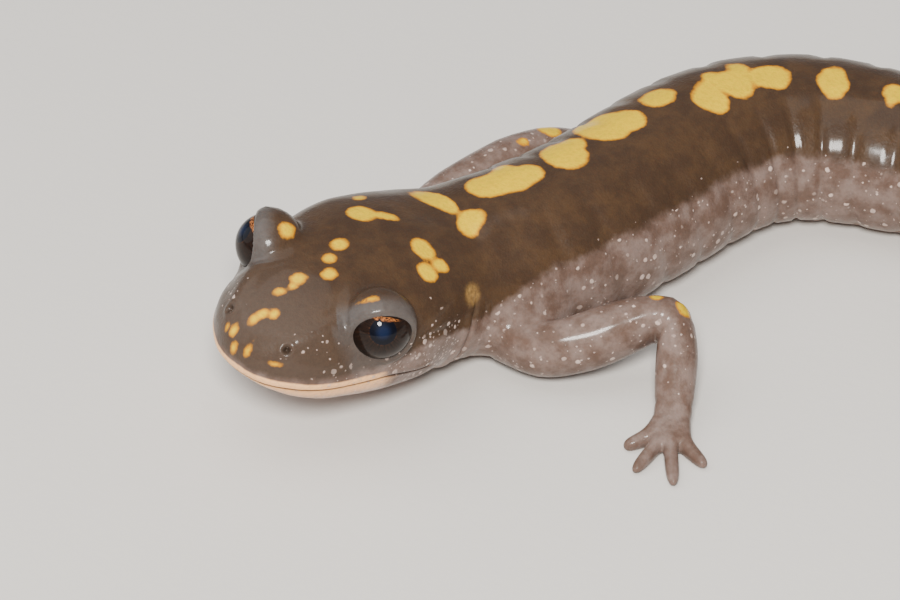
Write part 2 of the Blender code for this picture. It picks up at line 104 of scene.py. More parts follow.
# Turns of the back line towards the animal's left, as (from, to, degrees).
TURNS = (
    (11.5, 18.5, 22.0),
    (21.0, 32.0, -20.0),
    (35.0, 53.0, 68.0),
    (72.0, 92.0, -25.0),
    (98.0, 124.0, -55.0),
)
SNOUT = (-27.69, -49.19)
LIP_HEIGHT = 6.6
HEAD_PITCH = 5.0
HEAD_ROLL = 8.0
HEAD_RIGID = 12.0
BELLY_PRESS = 0.12
AXIS_STEP = 0.25
BACK_SQUARE = (2.0, 0.35)  # how square its section is, and how much more so at the head
BELLY_SQUARE = (2.4, 0.5)
SNOUT_BULGE = Vector((0, -0.9, 0.1))
TAIL_BULGE = Vector((0, 0.5, 0))
UP = Vector((0, 0, 1))


def eased(value, start, end):
    """0 before start, 1 after end, with an even rise between. It falls if end is below start."""
    t = np.clip((value - start) / (end - start), 0.0, 1.0)
    return t * t * (3.0 - 2.0 * t)


def profile(s, column):
    """One column of the body profile at distance s."""
    last = len(BODY_PROFILE) - 1
    i = max(k for k in range(last) if BODY_PROFILE[k][0] <= s or k == 0)
    rows = (BODY_PROFILE[min(max(k, 0), last)] for k in range(i - 1, i + 3))
    (s0, a0), (s1, a1), (s2, a2), (s3, a3) = ((row[0], row[column]) for row in rows)
    run = s2 - s1
    t = (s - s1) / run
    slopes = (t**3 - 2 * t**2 + t) * (a2 - a0) / (s2 - s0) + (t**3 - t**2) * (a3 - a1) / (s3 - s1)
    share = 3 * t**2 - 2 * t**3
    return (1 - share) * a1 + share * a2 + slopes * run


def heading(s):
    return sum(angle * eased(s, start, end) for start, end, angle in TURNS)


def axis_height(s):
    raised = LIP_HEIGHT - s * sin(radians(HEAD_PITCH))
    rest = profile(s, 3) - BELLY_PRESS
    blend = eased(s, HEAD_RIGID, SHOULDER_RINGS[0])
    return raised * (1.0 - blend) + rest * blend


def axis_point(s):
    steps = max(int(s / AXIS_STEP), 1)
    step = s / steps
    turned = np.radians(heading((np.arange(steps) + 0.5) * step))
    x, y = SNOUT
    x, y = x + np.sin(turned).sum() * step, y + np.cos(turned).sum() * step
    return Vector((x, y, axis_height(s)))


def body_frame(s):
    """Matrix from (left, back, up) millimetres at distance s to the room."""
    back = (axis_point(s + 0.05) - axis_point(max(s - 0.05, 0.0))).normalized()
    left = back.cross(UP).normalized()
    up = left.cross(back)
    roll = radians(HEAD_ROLL) * eased(s, SHOULDER_RINGS[0], HEAD_RIGID)
    left, up = left * cos(roll) - up * sin(roll), up * cos(roll) + left * sin(roll)
    placed = Matrix((left, back, up)).transposed().to_4x4()
    placed.translation = axis_point(s)
    return placed


def smoothed_size(count):
    """How much larger a ring of a cage is than the smooth surface it gives."""
    return 6.0 / (4.0 + 2.0 * cos(tau / count))


BODY_COLUMNS = ("along", "side", "rise", "limb")


class Cage:
    """The coarse skin: its points, with where on the body each one belongs."""

    def __init__(self):
        self.bm = bmesh.new()
        self.layers = [self.bm.verts.layers.float.new(name) for name in BODY_COLUMNS]

    def point(self, place, along, side, rise, limb=0.0):
        made = self.bm.verts.new(place)
        for layer, value in zip(self.layers, (along, side, rise, limb)):
            made[layer] = value
        return made

    def bridge(self, ring, other):
        count = len(ring)
        for k in range(count):
            n = (k + 1) % count
            self.bm.faces.new((ring[k], ring[n], other[n], other[k]))

    def body_ring(self, s):
        half, top, bottom = (profile(s, column) * smoothed_size(RING) for column in (1, 2, 3))
        head = eased(s, NECK_END, GULAR_FOLD)
        placed = body_frame(s)
        points = []
        for k in range(RING):
            c, h = cos(tau * k / RING), sin(tau * k / RING)
            plain, added = BACK_SQUARE if h > 0 else BELLY_SQUARE
            square = plain + added * head
            x = abs(c) ** (2.0 / square) * (half if c > 0 else -half)
            z = abs(h) ** (2.0 / square) * (top if h > 0 else -bottom)
            points.append(self.point(placed @ Vector((x, 0, z)), s, c, h))
        return points

    def cap(self, ring, bulge, s):
        """Closes a ring of 16 by a grid of 4 by 4 faces, whose middle stands out by bulge."""
        n = len(ring) // 4
        turned = ring[n // 2 :] + ring[: n // 2 + 1]
        grid = {}
        for k in range(n + 1):
            grid[k, 0] = turned[k]
            grid[n, k] = turned[n + k]
            grid[n - k, n] = turned[2 * n + k]
            grid[0, n - k] = turned[3 * n + k]
        for i in range(1, n):
            for j in range(1, n):
                u, v = i / n, j / n
                place = grid[i, 0].co.lerp(grid[i, n].co, v) + grid[0, j].co.lerp(grid[n, j].co, u)
                near, far = (grid[0, k].co.lerp(grid[n, k].co, u) for k in (0, n))
                place += bulge * (16 * u * (1 - u) * v * (1 - v)) - near.lerp(far, v)
                grid[i, j] = self.point(place, s, 0.0, 0.0)
        for i in range(n):
            for j in range(n):
                corners = (grid[i, j], grid[i + 1, j], grid[i + 1, j + 1], grid[i, j + 1])
                self.bm.faces.new(corners)


# Limbs: bearings are in degrees from the body's forward direction towards the limb's side.
LIMB_LENGTHS = {"front": (10.0, 7.0, 2.6), "hind": (9.0, 7.6, 3.2)}  # upper, lower, palm
LIMB_RADII = {  # root, above the elbow or knee, at it, below it, wrist
    "front": (2.1, 1.95, 1.75, 1.5, 1.05),
    "hind": (2.6, 2.3, 1.95, 1.65, 1.2),
}
TOES = {"front": (1.7, 3.1, 3.7, 2.4), "hind": (1.6, 3.2, 4.6, 5.4, 3.0)}  # from the inner one
TOE_SPREAD = {"front": 34.0, "hind": 27.0}
PALM_HALVES = {"front": 1.45, "hind": 1.9}
LIMB_SHARES = (0.12, 0.3, 0.5, 0.66, 0.82)  # where the rings come on the way to the toes
TOE_RADII = (0.5, 0.36)
PALM_HALF_THICK = 0.62
ROOT_REACH = 2.4
WRIST_RISE = 0.35  # above the palm
WRIST_FLAT = 0.75  # its height over its width
KNUCKLE_ARCH = 0.55  # how far back the outermost toes' roots lie, over the palm's half width
PALM_WIDENED, PALM_THICKENED = 1.05, 1.15  # what smoothing takes away again
TOE_RING_SHARES = (0.45, 0.97)
SMOOTHED_SQUARE = 0.69  # what smoothing leaves of a ring of four points

LIMBS = {
    # name: (rings at the root, side, upper bearing, elbow height, lower bearing, foot bearing)
    "front_left": (SHOULDER_RINGS, 1, 152.0, 4.7, 60.0, 48.0),
    "front_right": (SHOULDER_RINGS, -1, 154.0, 3.4, 172.0, 158.0),
    "hind_left": (HIP_RINGS, 1, 62.0, 4.8, 130.0, 100.0),
    "hind_right": (HIP_RINGS, -1, 98.0, 4.6, 158.0, 125.0),
}


def bearing(angle, name):
    """Level direction at this bearing from the body's direction where the limb grows."""
    root_rings, side, *_ = LIMBS[name]
    turn = radians(heading((root_rings[0] + root_rings[-1]) / 2))
    ahead = Vector((-sin(turn), -cos(turn), 0))
    left = Vector((cos(turn), -sin(turn), 0))
    return ahead * cos(radians(angle)) + left * (side * sin(radians(angle)))


def root_patch(rings, names, root_rings, side):
    """Points round a limb's root, and those inside it that go."""
    around = 2 if root_rings is SHOULDER_RINGS else 3
    up = [(RING - 2 + k) % RING for k in range(around + 1)]
    if side < 0:
        up = [(RING // 2 - k) % RING for k in up]
    front, *between, rear = ([rings[names.index(s)][k] for k in up] for s in root_rings)
    middle = (around + 1) // 2
    loop = rear[middle:] + [row[-1] for row in between[::-1]] + front[::-1]
    loop += [row[0] for row in between] + rear[:middle]
    return loop, [point for row in between for point in row[1:-1]]


elbows = {}  # and knees: place, direction towards them and on to the wrist or ankle


def grow_limb(cage, name, loop, outward):
    kind = name.split("_")[0]
    root_rings, side, upper_bearing, elbow_z, lower_bearing, foot_bearing = LIMBS[name]
    long_upper, long_lower, palm = LIMB_LENGTHS[kind]
    along = (root_rings[0] + root_rings[-1]) / 2
    count = len(loop)
    root = sum((v.co for v in loop), Vector()) / count
    rise = elbow_z - root.z
    elbow = root + bearing(upper_bearing, name) * sqrt(long_upper**2 - rise**2)
    elbow.z += rise
    drop = elbow_z - PALM_HALF_THICK - WRIST_RISE
    wrist = elbow + bearing(lower_bearing, name) * sqrt(long_lower**2 - drop**2)
    wrist.z -= drop
    aim = bearing(foot_bearing, name)
    knuckles = wrist + aim * palm
    knuckles.z = PALM_HALF_THICK - BELLY_PRESS / 2
    upper, lower = (elbow - root).normalized(), (wrist - elbow).normalized()
    elbows[name] = [np.array(vector) for vector in (elbow, upper, lower)]
    shoulder = root + outward * ROOT_REACH + upper * 0.5
    reach = (elbow - shoulder).normalized()
    plan = (
        (shoulder, (upper + outward).normalized()),
        (shoulder.lerp(elbow, 0.55), reach),
        (elbow, (reach + lower).normalized()),
        (elbow.lerp(wrist, 0.5), lower),
        (wrist, (lower + aim).normalized()),
    )
    first_turn, last_turn = (0.0, 0.5) if kind == "front" else (0.5, 0.5)
    ring = loop
    for k, (centre, direction) in enumerate(plan):
        turn = first_turn + (last_turn - first_turn) * (k + 1) / len(plan)
        flat = 1.0 if k < len(plan) - 1 else WRIST_FLAT
        up = (UP - direction * direction.z).normalized()
        rear = up.cross(direction) * side
        size = smoothed_size(count) * LIMB_RADII[kind][k]
        points = []
        for n in range(count):
            c, h = cos(tau * (n + turn) / count), sin(tau * (n + turn) / count)
            place = centre + (rear * c + up * h * flat) * size
            points.append(cage.point(place, along, c, h, LIMB_SHARES[k]))
        cage.bridge(ring, points)
        ring = points
    grow_foot(cage, ring, knuckles, aim, side, kind, along)


def grow_foot(cage, ring, knuckles, aim, side, kind, along):
    """Palm and toes: the palm's edge has one face for each toe."""
    half, count = PALM_HALVES[kind], len(TOES[kind])
    across = UP.cross(aim) * side
    rows = []
    for height in (1, -1):
        row = []
        for k in range(count + 1):
            u = 1.0 - 2.0 * k / count
            place = knuckles + across * (u * half * PALM_WIDENED)
            place -= aim * (KNUCKLE_ARCH * u * u * half)
            place.z += height * PALM_HALF_THICK * PALM_THICKENED
            row.append(cage.point(place, along, u, height, 0.9))
        rows.append(row)
    top, bottom = rows
    cage.bridge(ring, top + bottom[::-1])
    for k, length in enumerate(reversed(TOES[kind])):
        angle = radians(TOE_SPREAD[kind] * ((count - 1) / 2 - k)) * side
        direction = Matrix.Rotation(angle, 3, "Z") @ aim
        grow_toe(cage, (top[k], top[k + 1], bottom[k + 1], bottom[k]), direction, length, along)


def grow_toe(cage, root, direction, length, along):
    across = (root[0].co - root[1].co).normalized()
    across = (across - direction * across.dot(direction)).normalized()
    middle = sum((v.co for v in root), Vector()) / 4
    ring = list(root)
    for share, radius in zip(TOE_RING_SHARES, TOE_RADII):
        centre = middle + direction * (length * share)
        centre.z = radius - BELLY_PRESS / 2
        reach = radius / SMOOTHED_SQUARE / sqrt(2.0)
        points = []
        for a, b in ((1, 1), (-1, 1), (-1, -1), (1, -1)):
            place = centre + (across * a + UP * b) * reach
            points.append(cage.point(place, along, a, b, 0.92 + 0.08 * share))
        cage.bridge(ring, points)
        ring = points
    cage.bm.faces.new(ring)


def mesh_of(bm, name):
    mesh = bpy.data.meshes.new(name)
    bm.to_mesh(mesh)
    bm.free()
    return mesh


def into_scene(name, data):
    made = bpy.data.objects.new(name, data)
    bpy.context.scene.collection.objects.link(made)
    return made


def coarse_skin():
    """The whole cage as a mesh, smoothed twice. Lengths are in millimetres."""
    cage = Cage()
    trunk = np.linspace(SHOULDER_RINGS[-1], HIP_RINGS[0], TRUNK_STEPS + 1)[1:-1]
    tail = np.linspace(HIP_RINGS[-1], LENGTH, TAIL_STEPS + 1)[1:]
    names = [*HEAD_RINGS, *SHOULDER_RINGS, *trunk, *HIP_RINGS, *tail]
    rings = [cage.body_ring(s) for s in names]
    for ring, other in zip(rings, rings[1:]):
        cage.bridge(ring, other)
    for ring, bulge, s in ((rings[0], SNOUT_BULGE, 0.0), (rings[-1], TAIL_BULGE, LENGTH)):
        cage.cap(ring, body_frame(s).to_3x3() @ bulge, s)
    for name, (root_rings, side, *_) in LIMBS.items():
        loop, inner = root_patch(rings, names, root_rings, side)
        bmesh.ops.delete(cage.bm, geom=inner, context="VERTS")
        outward = body_frame((root_rings[0] + root_rings[-1]) / 2).to_3x3() @ Vector((side, 0, 0))
        grow_limb(cage, name, loop, outward)
    bmesh.ops.recalc_face_normals(cage.bm, faces=cage.bm.faces)
    maker = into_scene("coarse_skin", mesh_of(cage.bm, "coarse_skin"))
    rounding = maker.modifiers.new("rounding", "SUBSURF")
    rounding.levels = rounding.render_levels = 2
    graph = bpy.context.evaluated_depsgraph_get()
    rounded = bpy.data.meshes.new_from_object(maker.evaluated_get(graph))
    bpy.data.objects.remove(maker)
    return rounded


def read_column(source, name, width, kind=np.float64):
    values = np.empty(len(source) * width, kind)
    source.foreach_get(name, values)
    return values.reshape(-1, width) if width > 1 else values


class Surface:
    """The skin as plain arrays: points in millimetres, their places on the body, and faces."""

    def __init__(self, mesh):
        self.points = read_column(mesh.vertices, "co", 3)
        columns = (mesh.attributes[name].data for name in BODY_COLUMNS)
        self.values = np.stack([read_column(column, "value", 1) for column in columns], axis=1)
        self.faces = [tuple(p.vertices) for p in mesh.polygons]

    def mesh(self, name):
        made = bpy.data.meshes.new(name)
        made.from_pydata(self.points, [], self.faces)
        return made

    def per_face(self, column, take=np.mean):
        """One row for each face, taken from those of its points."""
        return np.array([take(column[list(face)], axis=0) for face in self.faces])

    def split_finer(self, wanted):
        """Splits the wanted faces by Catmull and Clark's rule. The others take in edge points."""
        mesh = self.mesh("splitting")
        loop_point = read_column(mesh.loops, "vertex_index", 1, np.int32)
        loop_edge = read_column(mesh.loops, "edge_index", 1, np.int32)
        start = read_column(mesh.polygons, "loop_start", 1, np.int32)
        total = read_column(mesh.polygons, "loop_total", 1, np.int32)
        ends = read_column(mesh.edges, "vertices", 2, np.int32)
        bpy.data.meshes.remove(mesh)
        loop_face = np.repeat(np.arange(len(total)), total)
        pick = wanted[loop_face]
        points, rows = self.points, np.hstack((self.points, self.values))
        middle = np.add.reduceat(rows[loop_point], start) / total[:, None]
        edge_sum = np.zeros((len(ends), 3))
        np.add.at(edge_sum, loop_edge, middle[loop_face, :3])
        edge_faces = np.bincount(loop_edge, minlength=len(ends))
        edge_row = rows[ends].mean(axis=1)
        edge_row[:, :3] = (points[ends].sum(axis=1) + edge_sum) / (2 + edge_faces)[:, None]

        faces_here = np.bincount(loop_point, minlength=len(points))
        wanted_here = np.bincount(loop_point, pick, minlength=len(points))
        around = np.zeros_like(points)
        np.add.at(around, loop_point, middle[loop_face, :3])
        half_way = np.zeros_like(points)
        edges_here = np.zeros(len(points))
        for end in (0, 1):
            np.add.at(half_way, ends[:, end], points[ends].mean(axis=1))
            np.add.at(edges_here, ends[:, end], 1)
        count = faces_here[:, None]
        moved = around / count + 2 * half_way / edges_here[:, None] + (count - 3) * points
        inner = wanted_here == faces_here
        rows[inner, :3] = (moved / count)[inner]

        used = np.zeros(len(ends), bool)
        used[loop_edge[pick]] = True
        edge_index = len(points) + np.cumsum(used) - 1
        face_index = len(points) + used.sum() + np.cumsum(wanted) - 1
        place_in_face = np.arange(len(loop_point)) - start[loop_face]
        before = start[loop_face] + (place_in_face - 1) % total[loop_face]
        edge_before = edge_index[loop_edge[before]]
        corners = (loop_point, edge_index[loop_edge], face_index[loop_face], edge_before)
        faces = [tuple(quad) for quad in np.stack(corners, axis=1)[pick].tolist()]
        new_point = np.where(used, edge_index, -1)[loop_edge]
        pairs = np.column_stack((loop_point, new_point)).tolist()
        for f in np.flatnonzero(~wanted):
            around_face = pairs[start[f] : start[f] + total[f]]
            faces.append(tuple(v for pair in around_face for v in pair if v >= 0))
        rows = np.concatenate((rows, edge_row[used], middle[wanted]))
        self.points, self.values, self.faces = rows[:, :3].copy(), rows[:, 3:], faces

    def cut_along(self, level, moved):
        """Puts an edge loop where the level is 0: the points next to that line take their places
        from moved, and the faces that the line crosses are cut in two along it."""
        level = level.copy()
        beside = set()
        for face in self.faces:
            for a, b in zip(face, face[1:] + face[:1]):
                if level[a] * level[b] < 0:
                    beside.add(a if abs(level[a]) < abs(level[b]) else b)
        beside = sorted(beside)
        self.points[beside] = moved[beside]
        level[beside] = 0.0
        faces = []
        for face in self.faces:
            heights = [level[v] for v in face]
            on_line = [k for k, height in enumerate(heights) if height == 0]
            both_sides = any(h < 0 for h in heights) and any(h > 0 for h in heights)
            if len(on_line) == 2 and both_sides:
                first, second = on_line
                faces += [face[first : second + 1], face[second:] + face[: first + 1]]
            else:
                faces.append(face)
        self.faces = faces

    def normals(self):
        mesh = self.mesh("normals")
        found = read_column(mesh.vertex_normals, "vector", 3)
        bpy.data.meshes.remove(mesh)
        return found


def ridge(distance, width):
    """1 at distance 0, falling away evenly over about the width."""
    return np.exp(-((distance / width) ** 2))


HEAD = body_frame(0.0)
head_axes = np.array(HEAD.to_3x3())
head_place = np.array(HEAD.translation)


def in_head(points):
    """Points as (left, back, up) of the snout, and the same with the right side on the left."""
    place = (points - head_place) @ head_axes
    return place, place * np.where(place[:, :1] < 0, (-1, 1, 1), (1, 1, 1))


def away_from(points, middle, halves=1.0):
    """How far points are from the middle, in millimetres or in half sizes of an oval lump."""
    return np.linalg.norm((points - middle) / halves, axis=1)


def segment_distance(points, a, b):
    a, b = np.array(a), np.array(b)
    t = np.clip((points - a) @ (b - a) / ((b - a) @ (b - a)), 0.0, 1.0)
    return away_from(points, a + t[:, None] * (b - a))


EYE_RADIUS = 2.1
LIDS_LOOK = (1.0, -0.75, 0.10)  # outwards, back and up from the left eye
PUPIL_LOOK = (1.0, -1.02, 0.78)
LID_RADIUS = 2.4
LID_SOFT = 1.0  # how gradually the lids run into the head
LID_LOWER_BEHIND = 0.13
UPPER_LID_SWELL = 0.05
EYE_OPEN_LONG = 62.5  # half angles of the opening
EYE_OPEN_HIGH = 50.0
RIM_SPAN = 0.17  # how far across the lids their rim rounds over, the opening being 1
RIM_SPLITS = ((0.87, 1.45), (0.95, 1.22))  # the rings of lid that get finer faces
RIM_DEPTH = 0.06  # into the eyeball's surface
FINE_TO = 80.0  # along the body and tail
MOUTH_LEVEL = -0.75
MOUTH_DROP = 0.5
MOUTH_TURN = 6.5  # behind this the mouth's line goes down
NOSTRIL = (2.38, 1.1, 1.9)
HEAD_ENDS = (14.5, 12.5)
REST_STARTS = (13.0, 15.0)
# Folds: distance from their line or point, width, millimetres outwards.
LIP_FOLDS = ((0.42, 0.34, 0.07), (0.0, 0.10, -0.24), (-0.45, 0.45, -0.10))
NOSTRIL_FOLDS = ((0.4, 0.2, 0.07), (0.0, 0.17, -0.34))
GULAR_FOLDS = ((-0.7, 0.55, 0.14), (0.0, 0.22, -0.3))
# Creases: places along the neck and down the limbs.
NECK_CREASES = (16.6, 17.5, 18.6)
LIMB_CREASES = (0.44, 0.5, 0.56, 0.8, 0.84)
GROOVES = 12
FIRST_GROOVE = 23.4
GROOVE_STEP = 3.05
FIRST_TAIL_GROOVE = 71.0
TAIL_GROOVE_STEP = 2.7


def eye_place(side):
    low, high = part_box("eye_left" if side > 0 else "eye_right")
    return np.array((low + high) / 2) / MM


def eye_axes(side, aim):
    """Where the lids or the pupil look, and their length and height, as unit vectors."""
    out, back, up = aim
    look = (HEAD.to_3x3() @ Vector((side * out, back, up))).normalized()
    along = look.cross(HEAD.to_3x3() @ UP).normalized()
    return np.array(look), np.array(along), np.array(along.cross(look))


def mouth_level(back):
    return MOUTH_LEVEL - MOUTH_DROP * eased(back, MOUTH_TURN, JAW_JOINT)


def shares(along, limb):
    """1 on the tube of head, body and tail, the same for the head alone and for the rest."""
    tube = (limb <= 0.0).astype(float)
    return tube, eased(along, *HEAD_ENDS) * tube, eased(along, *REST_STARTS) * tube


def relief(distance, folds):
    """Millimetres outwards of folds, each given as its place, width and height."""
    return sum(height * ridge(distance - at, width) for at, width, height in folds)


# The skin gets finer faces on the body, finer still on the head, and most at mouth and nostrils.
surface = Surface(coarse_skin())
face_along, _, face_rise, _ = surface.per_face(surface.values).T
face_limb = surface.per_face(surface.values[:, 3], np.max)
upper_side = (face_rise > -0.6) | (face_along < 18)
left_side = surface.per_face(surface.points)[:, 0] > -22
left_arm = left_side & (face_along < 30) & (face_limb > 0) & (face_limb < 0.87)
surface.split_finer(left_arm | (upper_side & (face_limb == 0) & (face_along < FINE_TO)))

place, _ = in_head(surface.per_face(surface.points))
face_limb = surface.per_face(surface.values[:, 3], np.max)
surface.split_finer((place[:, 1] < 11.2) & (place[:, 2] > -1.4) & (face_limb == 0))

place, mirrored = in_head(surface.per_face(surface.points))
on_mouth = (np.abs(place[:, 2] - mouth_level(place[:, 1])) < 0.3) & (place[:, 1] < 10.9)
surface.split_finer(on_mouth | (away_from(mirrored, NOSTRIL) < 0.9))

# Folds and swellings, each as millimetres outwards.
along, side_share, rise, limb = surface.values.T
place, mirrored = in_head(surface.points)
trunk_only, head_only, behind_head = shares(along, limb)

mouth_offset = place[:, 2] - mouth_level(place[:, 1])
mouth_share = eased(place[:, 1], 11.0, 10.0) * head_only * (place[:, 2] < 1.5)
swell = mouth_share * relief(mouth_offset, LIP_FOLDS)
nostril_away = away_from(mirrored, NOSTRIL)
swell += head_only * relief(nostril_away, NOSTRIL_FOLDS)
for share, start, end, width, outwards in (
    (head_only, (2.5, 1.9, 2.3), (3.6, 4.4, 3.3), 0.55, 0.13),  # ridge from nostril to eye
    (head_only, (3.6, 2.4, 1.6), (4.9, 4.2, 1.7), 0.7, -0.12),  # hollow below that
    (trunk_only, (6.4, 9.0, 1.6), (6.4, 14.2, 0.9), 0.2, -0.12),  # groove behind the cheek
):
    swell += share * outwards * ridge(segment_distance(mirrored, start, end), width)
for share, middle, halves, outwards in (
    (trunk_only, (5.0, 12.0, 2.6), (1.4, 2.4, 1.5), 0.22),  # gland behind the eye
    (head_only, (6.2, 9.6, 0.4), (1.2, 2.0, 1.5), 0.12),  # jaw muscle
):
    swell += share * outwards * ridge(away_from(mirrored, middle, halves), 1.0)
crown = np.hypot(place[:, 0] / 1.7, (place[:, 1] - 5.6) / 3.0)
swell -= head_only * 0.16 * ridge(crown, 1.0) * (place[:, 2] > 0)

below_back = eased(rise, 0.55, 0.15)
fold = along - GULAR_FOLD - 0.25 * rise
swell += trunk_only * below_back * relief(fold, GULAR_FOLDS)
for s in NECK_CREASES:
    crease = ridge(along - s - 0.5 * side_share * rise, 0.16)
    swell -= trunk_only * 0.07 * crease * below_back * (1.0 - ridge(rise, 0.15))

flank = trunk_only * eased(np.abs(side_share), 0.3, 0.7)
lean = along + 0.7 * rise
nearest = np.round((lean - FIRST_GROOVE) / GROOVE_STEP).clip(0, GROOVES - 1)
groove = lean - FIRST_GROOVE - nearest * GROOVE_STEP
ribs = eased(along, 20.5, 24.0) * eased(along, 61.0, 58.0)
swell += flank * ribs * (0.05 - 0.2 * ridge(groove, 0.34))
swell -= behind_head * 0.1 * ridge(side_share, 0.15) * (rise > 0) * eased(along, 74, 66)
steps = (along - FIRST_TAIL_GROOVE) / TAIL_GROOVE_STEP
from_groove = np.abs(steps - np.round(steps)) * TAIL_GROOVE_STEP
tail_share = eased(along, 69, 73) * eased(along, 112, 92) * eased(np.abs(side_share), 0.4, 0.8)
swell -= trunk_only * tail_share * 0.1 * ridge(from_groove, 0.3)
vent = np.hypot((along - VENT) / 1.6, side_share / 0.3)
vent_slit = ridge(side_share, 0.06) * ridge(vent, 0.9)
swell += trunk_only * (rise < 0) * (0.12 * ridge(vent - 1, 0.5) - 0.15 * vent_slit)
for share in LIMB_CREASES:
    swell -= 0.06 * ridge(limb - share, 0.012)


def unevenness(points, grain, seed):
    """Soft noise of about this grain, from -1 to 1."""
    offset = Vector((seed, seed * 0.7, -seed))
    return np.array([noise.noise(Vector(p) / grain + offset) for p in points])


soft = unevenness(surface.points, 1.9, 3.1)
fine = unevenness(surface.points, 0.7, 8.4)
roughness_share = 1.0 - 0.5 * (limb > 0.85)
swell += roughness_share * (0.05 * soft + 0.008 * fine)

eye_away = np.minimum(*(away_from(surface.points, eye_place(side)) for side in (1, -1)))
surface.points += surface.normals() * (swell * eased(eye_away, 2.2, 3.0))[:, None]


def seen_from_eye(points, side):
    """Distance and direction of points from an eye's centre, how far across the lids' opening
    they are, 0 in the middle and 1 at the rim, and how high in it."""
    look, length, height = eye_axes(side, LIDS_LOOK)
    away = points - eye_place(side)
    distance = np.linalg.norm(away, axis=1)
    direction = away / distance[:, None]
    turn = np.degrees(np.arccos(np.clip(direction @ look, -1.0, 1.0)))
    level = np.hypot(direction @ length, direction @ height) + 1e-9
    long_part = turn * (direction @ length) / level / EYE_OPEN_LONG
    high_part = turn * (direction @ height) / level / EYE_OPEN_HIGH
    return distance, direction, np.hypot(long_part, high_part), high_part


# Eyelids, first as a dome of skin over each eyeball.
for side in (1, -1):
    distance, direction, *_ = seen_from_eye(surface.points, side)
    dome = LID_RADIUS - LID_LOWER_BEHIND * eased(direction @ head_axes[:, 1], 0.2, 0.8)
    overlap = np.clip(LID_SOFT - np.abs(distance - dome), 0.0, None) / LID_SOFT
    raised = np.maximum(distance, dome) + overlap**2 * LID_SOFT / 4.0
    near = distance < LID_RADIUS + LID_SOFT
    surface.points[near] = (eye_place(side) + direction * raised[:, None])[near]
for innermost, outermost in RIM_SPLITS:
    near_rim = np.zeros(len(surface.faces), bool)
    for side in (1, -1):
        distance, _, opening, _ = seen_from_eye(surface.per_face(surface.points), side)
        in_ring = (opening > innermost) & (opening < outermost)
        near_rim |= in_ring & (distance < LID_RADIUS + 0.5)
    surface.split_finer(near_rim)
for ring in (1.0, 1.0 + RIM_SPAN * 0.4, 1.0 + RIM_SPAN):
    for side in (1, -1):
        distance, direction, opening, _ = seen_from_eye(surface.points, side)
        look = eye_axes(side, LIDS_LOOK)[0]
        turn = np.arccos(np.clip(direction @ look, -1.0, 1.0))
        across = direction - (direction @ look)[:, None] * look
        across /= np.linalg.norm(across, axis=1)[:, None] + 1e-9
        new_turn = (turn * ring / (opening + 1e-9))[:, None]
        new_direction = look * np.cos(new_turn) + across * np.sin(new_turn)
        level = np.where(distance < LID_RADIUS + 0.8, opening - ring, np.nan)
        surface.cut_along(level, eye_place(side) + new_direction * distance[:, None])

# Then the dome opens: its rim rounds down to the eyeball and the skin runs on behind that.
lid_share, rim_share = np.zeros((2, len(surface.points)))
for side in (1, -1):
    distance, direction, opening, high_part = seen_from_eye(surface.points, side)
    near = distance < LID_RADIUS + LID_SOFT
    distance += UPPER_LID_SWELL * eased(high_part, 0.0, 0.9) * ridge(opening - 1.4, 0.6)
    edge = np.clip((opening - 1.0) / RIM_SPAN, 0.0, 1.0)
    floor_of_rim = EYE_RADIUS - RIM_DEPTH
    rounded = floor_of_rim + (distance - floor_of_rim) * np.sqrt(1.0 - (1.0 - edge) ** 2)
    inside = EYE_RADIUS * (0.80 + 0.17 * eased(opening, 0.85, 1.0))
    reach = np.where(opening < 0.9999, inside, rounded)
    moved = eye_place(side) + direction * reach[:, None]
    surface.points[near] = moved[near]
    rim = eased(opening, 1.8, 1.3) * (distance < LID_RADIUS + 0.6)
    grey = np.maximum(rim * eased(high_part, -0.5, 0.5), 0.6 * eased(opening, 1.3, 1.08))
    lid_share = np.maximum(lid_share, near * grey)
    rim_share = np.maximum(rim_share, near * eased(opening, 1.7, 1.3))
surface.values = np.column_stack((surface.values, lid_share, rim_share))

surface.points = surface.points.clip(np.array(cad_low) / MM, np.array(cad_high) / MM)

# Markings: yellow blotches as (s, left of the back line, half length along, half width, turn).
HEAD_MARKS = (
    (8.7, -0.85, 0.68, 0.58, 10),
    (7.35, -0.4, 0.5, 0.44, 0),
    (6.35, 0.55, 0.58, 0.52, 0),
    (4.75, -0.5, 0.6, 0.46, 30),
    (4.1, -0.3, 0.34, 0.3, 0),
    (3.25, -0.6, 0.46, 0.28, 40),
    (1.05, -0.45, 0.42, 0.34, 0),
    (1.5, -0.25, 0.5, 0.3, 20),
    (1.95, 0.3, 0.38, 0.32, 0),
    (6.72, -3.5, 0.66, 0.54, 0),
    (5.92, 4.15, 0.62, 0.23, 48),
    (12.15, -2.15, 0.95, 0.95, 20),
    (13.05, -1.1, 1.1, 0.45, 50),
    (13.8, -3.7, 0.5, 0.4, 0),
    (12.85, 2.45, 0.75, 0.95, 10),
    (11.75, 3.9, 0.72, 0.72, 0),
    (13.0, 3.9, 0.62, 0.55, 0),
)
SNOUT_MARKS = (  # left of the middle, above the lips, half width, half height, turn
    (-1.14, 1.5, 0.34, 0.36, 0),
    (-1.7, 1.3, 0.2, 0.24, 0),
    (-0.55, 0.75, 0.28, 0.46, 0),
    (0.45, 1.15, 0.22, 0.46, 0),
)
LIP_FLECK = (2.26, 0.98, 0.5, 0.28, 0)
FLECK_SOFT = 0.3 / 0.28
FLECK_FAINT = 0.1
